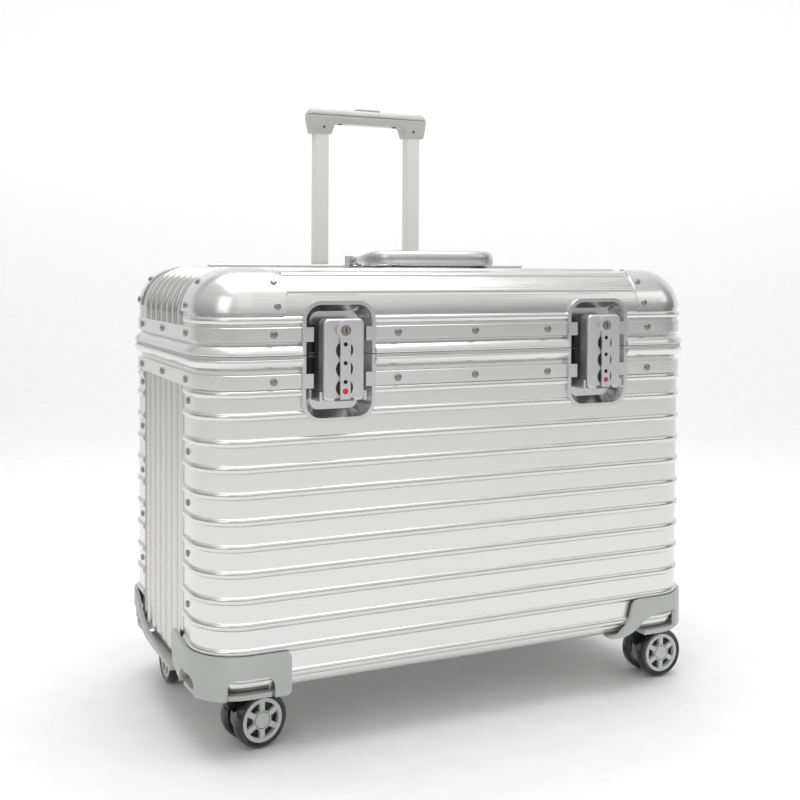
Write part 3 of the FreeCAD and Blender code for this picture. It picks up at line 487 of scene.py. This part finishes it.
# ---------------------------------------------------------------- stage, light, camera
def backdrop():
    prof = [(-6.0, 0.0), (1.6, 0.0)]
    for k in range(1, 17):
        a = math.radians(90 * k / 16)
        prof.append((1.6 + 1.6 * math.sin(a), 1.6 - 1.6 * math.cos(a)))
    prof.append((3.2, 6.0))
    verts, faces = [], []
    ca, sa = math.cos(-0.44), math.sin(-0.44)
    for y, z in prof:
        for x in (-7.0, 7.0):
            verts.append((x * ca - y * sa, x * sa + y * ca, z - 0.0002))
    for i in range(len(prof) - 1):
        faces.append((2 * i, 2 * i + 1, 2 * i + 3, 2 * i + 2))
    o = mesh_object("backdrop", verts, faces)
    m, nt, s = new_mat("paper_floor")
    n = noise(nt, coords(nt), 30, 3)
    nt.links.new(ramp(nt, n, [(0.3, (0.86, 0.86, 0.86)), (0.7, (0.89, 0.89, 0.89))]), s.inputs["Base Color"])
    s.inputs["Roughness"].default_value = 0.7
    s.inputs["Specular IOR Level"].default_value = 0.2
    # painted glow: the backdrop emits white light of its own, none on the flat floor, rising up the curve and
    # weaker towards -X
    s.inputs["Emission Color"].default_value = (1, 1, 1, 1)
    tc = nt.nodes.new("ShaderNodeTexCoord")
    sp = nt.nodes.new("ShaderNodeSeparateXYZ")
    nt.links.new(tc.outputs["Object"], sp.inputs[0])
    glow = nt.nodes.new("ShaderNodeMath")
    glow.operation = "MULTIPLY"
    nt.links.new(span(nt, sp.outputs["Z"], 0.0, 0.30, 0.0, 0.9), glow.inputs[0])
    nt.links.new(span(nt, sp.outputs["X"], 0.1, 1.0, -1.4, -0.3), glow.inputs[1])
    nt.links.new(glow.outputs[0], s.inputs["Emission Strength"])
    o.data.materials.append(m)


backdrop()


def area(name, at, to, size, energy, size_y=None):
    l = bpy.data.lights.new(name, "AREA")
    l.shape = "RECTANGLE"
    l.size = size
    l.size_y = size_y or size
    l.energy = energy
    o = bpy.data.objects.new(name, l)
    bpy.context.scene.collection.objects.link(o)
    o.location = at
    o.rotation_euler = (Vector(to) - Vector(at)).to_track_quat("-Z", "Y").to_euler()
    return o


area("top_soft", (0.0, 0.0, 2.2), (0, 0, 0.2), 2.0, 26)
area("front_left_soft", (-2.0, -1.5, 1.5), (0, 0, 0.25), 1.2, 5, 1.6)
area("front_right_soft", (2.2, -1.6, 1.7), (0, 0, 0.25), 1.0, 2.5, 1.2)

w = bpy.data.worlds.new("studio")
bpy.context.scene.world = w
w.use_nodes = True
nt = w.node_tree
bg = nt.nodes["Background"]
tc = nt.nodes.new("ShaderNodeTexCoord")
sep = nt.nodes.new("ShaderNodeSeparateXYZ")
nt.links.new(tc.outputs["Generated"], sep.inputs[0])
WORLD_BY_HEIGHT = [(0.0, 0.30), (0.44, 0.50), (0.50, 0.72), (0.56, 0.95), (0.70, 1.5), (1.0, 1.9)]
WORLD_BY_SIDE = [
    (0.0, 0.62), (0.22, 0.72), (0.42, 1.0), (0.62, 1.0), (0.74, 0.82), (0.81, 0.62), (0.95, 0.42),
]


def world_ramp(axis, stops):
    """Grey level of the world along one axis of the direction, from -1 to 1."""
    fac = span(nt, sep.outputs[axis], 0.0, 1.0, -1.0, 1.0)
    return ramp(nt, fac, [(at, (level,) * 3) for at, level in stops])


product = nt.nodes.new("ShaderNodeVectorMath")
product.operation = "MULTIPLY"
nt.links.new(world_ramp("Z", WORLD_BY_HEIGHT), product.inputs[0])
nt.links.new(world_ramp("X", WORLD_BY_SIDE), product.inputs[1])
nt.links.new(product.outputs[0], bg.inputs["Color"])
bg.inputs["Strength"].default_value = 0.60

cam_data = bpy.data.cameras.new("camera")
cam = bpy.data.objects.new("camera", cam_data)
bpy.context.scene.collection.objects.link(cam)
yaw, pitch, roll = 0.4406, 0.0249, 0.0059  # radians
CAMERA_AT = Vector((-0.4926, -1.0081, 0.4065))
SENSOR_MM = 36.0
FRAME_WIDTH = 800.0
FOCAL_WIDTHS = 1135.4 / FRAME_WIDTH
fw = Vector((math.sin(yaw) * math.cos(pitch), math.cos(yaw) * math.cos(pitch), -math.sin(pitch)))
rt = Vector((math.cos(yaw), -math.sin(yaw), 0.0))
up = rt.cross(fw)
r2 = rt * math.cos(roll) + up * math.sin(roll)
u2 = -rt * math.sin(roll) + up * math.cos(roll)
rot = Matrix((r2, u2, -fw)).transposed()
cam.matrix_world = Matrix.Translation(CAMERA_AT) @ rot.to_4x4()
cam_data.sensor_width = SENSOR_MM
cam_data.lens = SENSOR_MM * FOCAL_WIDTHS
cam_data.shift_x = 0.008
cam_data.shift_y = -0.1333
cam_data.clip_start = 0.05
bpy.context.scene.camera = cam
bpy.context.scene.view_settings.view_transform = "Standard"
